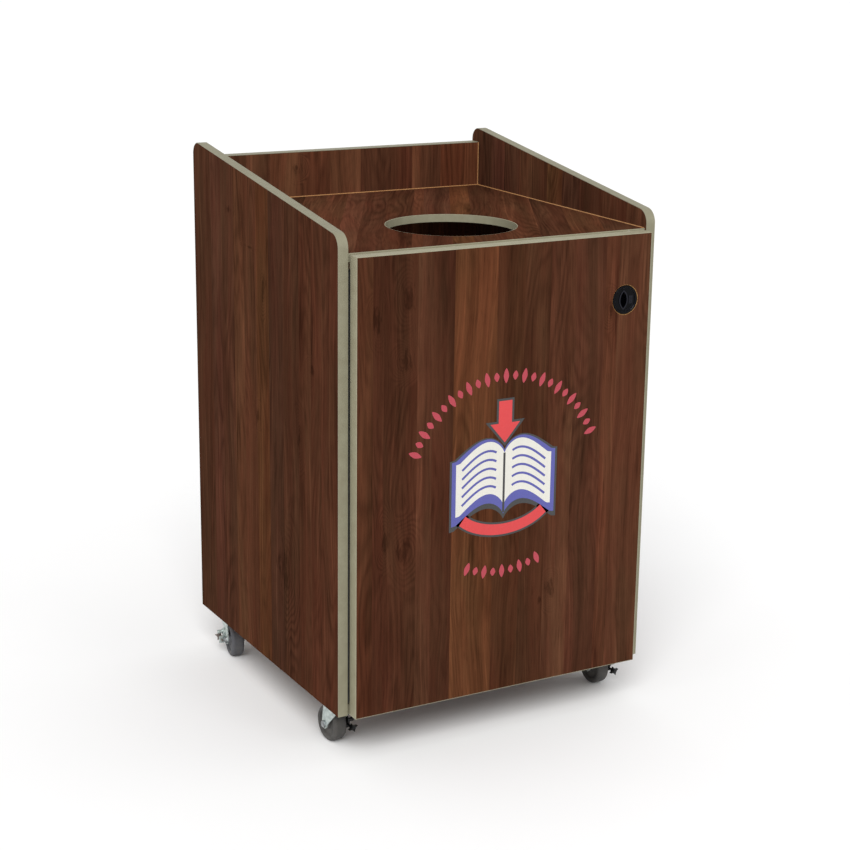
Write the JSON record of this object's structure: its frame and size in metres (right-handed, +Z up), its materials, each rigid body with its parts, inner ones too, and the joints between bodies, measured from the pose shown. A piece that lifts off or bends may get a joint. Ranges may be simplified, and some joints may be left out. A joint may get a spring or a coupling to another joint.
{
  "type": "book drop box",
  "caption": "Wood-grain cabinet on swivel castors with a round drop opening in its sunk top, a hinged front door with a quarter-turn latch and a lift-out liner bin.",
  "frame": {"origin": "on the floor, below the middle of the overall box", "axes": "+Z up; the door faces -Y; +X is to the right seen from the front"},
  "size_m": [0.61, 0.621, 0.9813],
  "materials": {
    "walnut_laminate": "satin laminate",
    "edge_banding": "matt",
    "black_steel": "black oxide",
    "latch_black": "semi-gloss",
    "zinc_steel": "zinc plated",
    "catch_plastic": "moulded",
    "clear_stop": "translucent",
    "bin_plastic": "moulded",
    "plain_board": "raw",
    "beech": "raw",
    "wheel_rubber": "matt",
    "brake_black": "black"
  },
  "bodies": {
    "cabinet": {"back_band": "edge_banding", "back_panel": "walnut_laminate", "bin_rails": "plain_board", "bottom_front_band": "edge_banding", "bottom_panel": "walnut_laminate", "cabinet_screws": "zinc_steel", "caster_balls": "zinc_steel", "caster_fl_plate": "zinc_steel", "caster_fr_plate": "zinc_steel", "caster_kingpins": "zinc_steel", "caster_rl_plate": "zinc_steel", "caster_rr_plate": "zinc_steel", "caster_screws": "zinc_steel", "deck_front_band": "edge_banding", "door_bumpers": "clear_stop", "drop_hole_band": "edge_banding", "hinge_pin": "black_steel", "hinge_side_leaf": "black_steel", "hinge_side_screws": "black_steel", "latch_strike": "zinc_steel", "magnet_catch": "catch_plastic", "panel_dowels": "beech", "side_band_left": "edge_banding", "side_band_right": "edge_banding", "side_panel_left": "walnut_laminate", "side_panel_right": "walnut_laminate", "top_deck": "walnut_laminate"},
    "door": {"door_panel": "walnut_laminate", "door_band": "edge_banding", "hinge_door_leaf": "black_steel", "hinge_door_screws": "black_steel", "latch_cup": "latch_black", "latch_nut": "zinc_steel", "catch_plate": "zinc_steel", "catch_plate_screws": "zinc_steel"},
    "latch": {"latch_rotor": "latch_black", "latch_cam": "zinc_steel", "latch_cam_screw": "zinc_steel"},
    "bin": {"liner_bin": "bin_plastic"},
    "caster_fl_swivel": {"caster_fl_fork": "zinc_steel", "caster_fl_axle": "zinc_steel", "caster_fl_brake_bracket": "brake_black"},
    "caster_fl_roll": {"caster_fl_wheel": "wheel_rubber"},
    "caster_fl_knob": {"caster_fl_brake_knob": "brake_black"},
    "caster_fr_swivel": {"caster_fr_fork": "zinc_steel", "caster_fr_axle": "zinc_steel", "caster_fr_brake_bracket": "brake_black"},
    "caster_fr_roll": {"caster_fr_wheel": "wheel_rubber"},
    "caster_fr_knob": {"caster_fr_brake_knob": "brake_black"},
    "caster_rl_swivel": {"caster_rl_fork": "zinc_steel", "caster_rl_axle": "zinc_steel", "caster_rl_brake_bracket": "brake_black"},
    "caster_rl_roll": {"caster_rl_wheel": "wheel_rubber"},
    "caster_rl_knob": {"caster_rl_brake_knob": "brake_black"},
    "caster_rr_swivel": {"caster_rr_fork": "zinc_steel", "caster_rr_axle": "zinc_steel", "caster_rr_brake_bracket": "brake_black"},
    "caster_rr_roll": {"caster_rr_wheel": "wheel_rubber"},
    "caster_rr_knob": {"caster_rr_brake_knob": "brake_black"}
  },
  "joints": [
    {"name": "door_hinge", "type": "hinge", "parent": "cabinet", "child": "door", "pos_m": [-0.285, -0.2858, 0.474], "axis": [0, 0, -1], "range_deg": [0, 90]},
    {"name": "latch_turn", "type": "hinge", "parent": "door", "child": "latch", "pos_m": [0.2333, -0.3, 0.7543], "axis": [0, -1, 0], "range_deg": [0, 90]},
    {"name": "bin_lift", "type": "slide", "parent": "cabinet", "child": "bin", "axis": [0, 0, 1], "range_m": [0, 0.08]},
    {"name": "caster_fl_swivel", "type": "hinge", "parent": "cabinet", "child": "caster_fl_swivel", "pos_m": [-0.273, -0.2245, 0.07], "axis": [0, 0, 1], "continuous": true},
    {"name": "caster_fl_roll", "type": "hinge", "parent": "caster_fl_swivel", "child": "caster_fl_roll", "pos_m": [-0.27492, -0.20258, 0.03175], "axis": [0.9962, 0.0872, 0], "continuous": true},
    {"name": "caster_fl_brake_screw", "type": "hinge", "parent": "caster_fl_swivel", "child": "caster_fl_knob", "pos_m": [-0.25108, -0.22258, 0.028], "axis": [0.0872, -0.9962, 0], "range_deg": [0, 540]},
    {"name": "caster_fr_swivel", "type": "hinge", "parent": "cabinet", "child": "caster_fr_swivel", "pos_m": [0.273, -0.2245, 0.07], "axis": [0, 0, 1], "continuous": true},
    {"name": "caster_fr_roll", "type": "hinge", "parent": "caster_fr_swivel", "child": "caster_fr_roll", "pos_m": [0.27223, -0.20251, 0.03175], "axis": [0.9994, 0.0349, 0], "continuous": true},
    {"name": "caster_fr_brake_screw", "type": "hinge", "parent": "caster_fr_swivel", "child": "caster_fr_knob", "pos_m": [0.29499, -0.22373, 0.028], "axis": [0.0349, -0.9994, 0], "range_deg": [0, 540]},
    {"name": "caster_rl_swivel", "type": "hinge", "parent": "cabinet", "child": "caster_rl_swivel", "pos_m": [-0.271, 0.2475, 0.07], "axis": [0, 0, 1], "continuous": true},
    {"name": "caster_rl_roll", "type": "hinge", "parent": "caster_rl_swivel", "child": "caster_rl_roll", "pos_m": [-0.27425, 0.22574, 0.03175], "axis": [-0.989, 0.1478, 0], "continuous": true},
    {"name": "caster_rl_brake_screw", "type": "hinge", "parent": "caster_rl_swivel", "child": "caster_rl_knob", "pos_m": [-0.29276, 0.25075, 0.028], "axis": [0.1478, 0.989, 0], "range_deg": [0, 540]},
    {"name": "caster_rr_swivel", "type": "hinge", "parent": "cabinet", "child": "caster_rr_swivel", "pos_m": [0.271, 0.2475, 0.07], "axis": [0, 0, 1], "continuous": true},
    {"name": "caster_rr_roll", "type": "hinge", "parent": "caster_rr_swivel", "child": "caster_rr_roll", "pos_m": [0.26531, 0.22625, 0.03175], "axis": [-0.9659, 0.2588, 0], "continuous": true},
    {"name": "caster_rr_brake_screw", "type": "hinge", "parent": "caster_rr_swivel", "child": "caster_rr_knob", "pos_m": [0.24975, 0.25319, 0.028], "axis": [0.2588, 0.9659, 0], "range_deg": [0, 540]}
  ]
}
